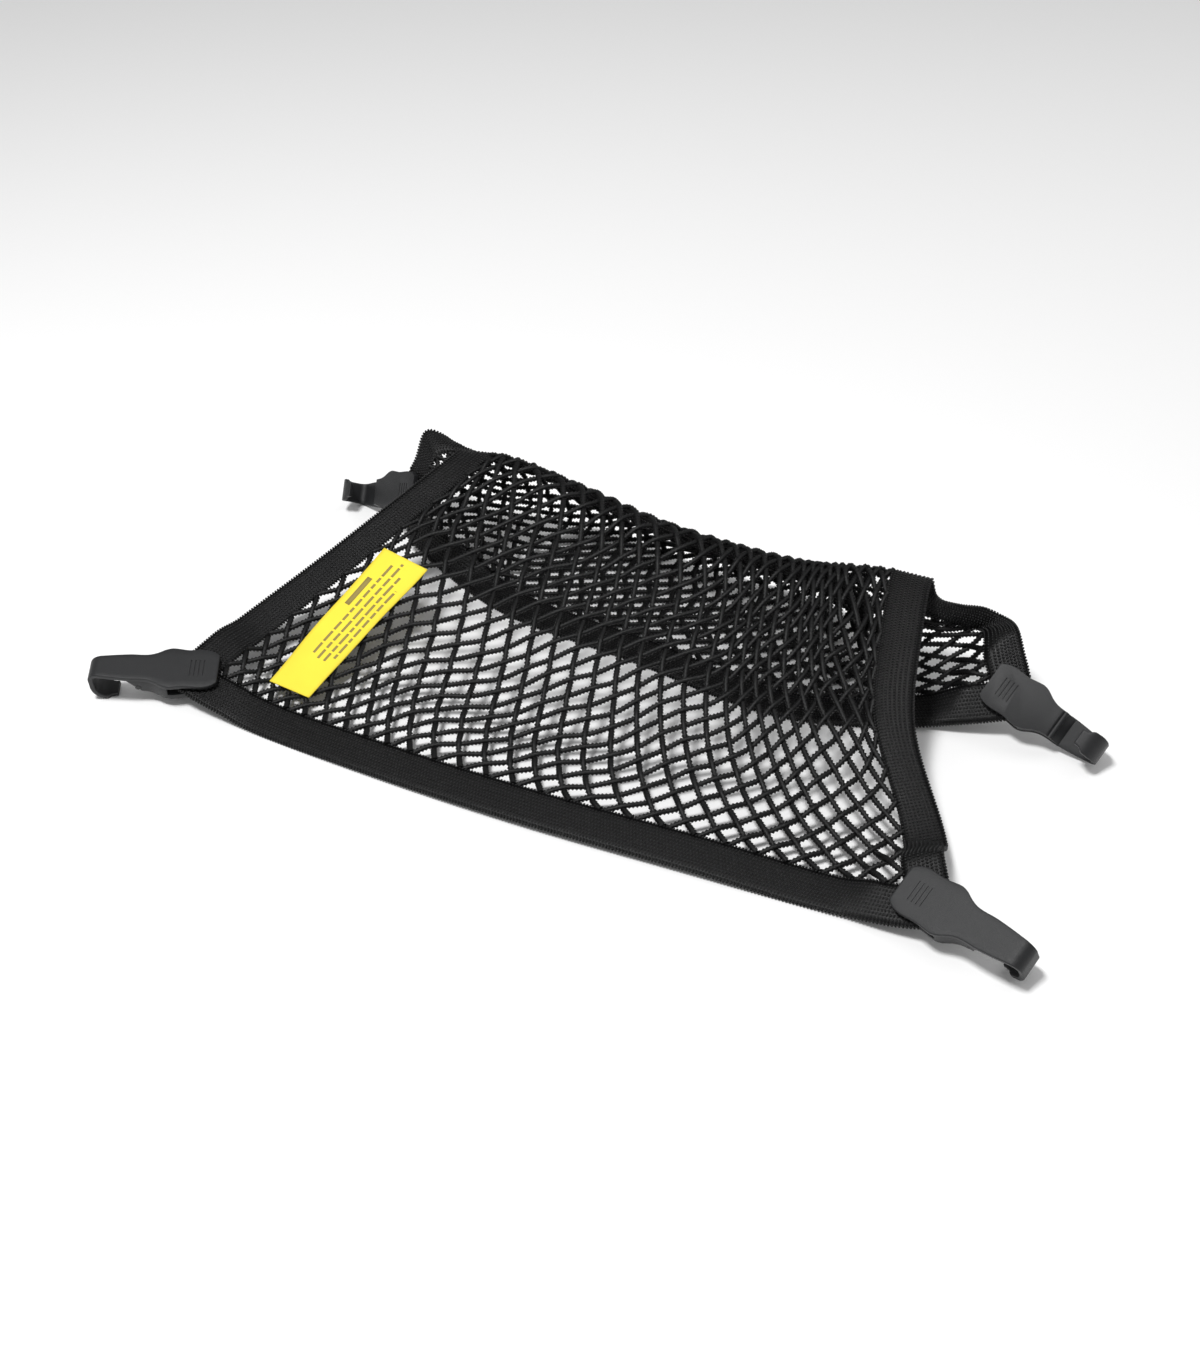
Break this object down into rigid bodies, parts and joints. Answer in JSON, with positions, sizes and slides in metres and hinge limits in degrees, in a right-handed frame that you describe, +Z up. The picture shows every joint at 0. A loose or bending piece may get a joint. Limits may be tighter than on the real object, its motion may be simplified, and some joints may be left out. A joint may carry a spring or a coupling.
{
  "type": "luggage net",
  "caption": "Elastic luggage net lying folded over, with knitted edge binding, a sewn-in label and a plastic hook at each corner.",
  "frame": {"origin": "centre of the outline, at the level of the surface it lies on", "axes": "+X along the front edge towards its right end, +Y from the front edge towards the fold, +Z up"},
  "size_m": [0.5332, 0.2746, 0.0687],
  "materials": {
    "mesh_cord": "ribbed elastic cord",
    "edge_binding": "knitted elastic",
    "label_cloth": "printed woven label",
    "hook_plastic": "finely grained",
    "clamp_plastic": "finely grained",
    "pin_plastic": "smooth"
  },
  "bodies": {
    "root": {"net_panel": "mesh_cord", "binding_front": "edge_binding", "binding_left": "edge_binding", "binding_right": "edge_binding", "binding_back": "edge_binding", "label": "label_cloth", "hook_front_left": "hook_plastic", "clamp_front_left": "clamp_plastic", "pin_front_left": "pin_plastic", "hook_front_right": "hook_plastic", "clamp_front_right": "clamp_plastic", "pin_front_right": "pin_plastic", "hook_back_right": "hook_plastic", "clamp_back_right": "clamp_plastic", "pin_back_right": "pin_plastic", "hook_back_left": "hook_plastic", "clamp_back_left": "clamp_plastic", "pin_back_left": "pin_plastic"}
  },
  "joints": []
}
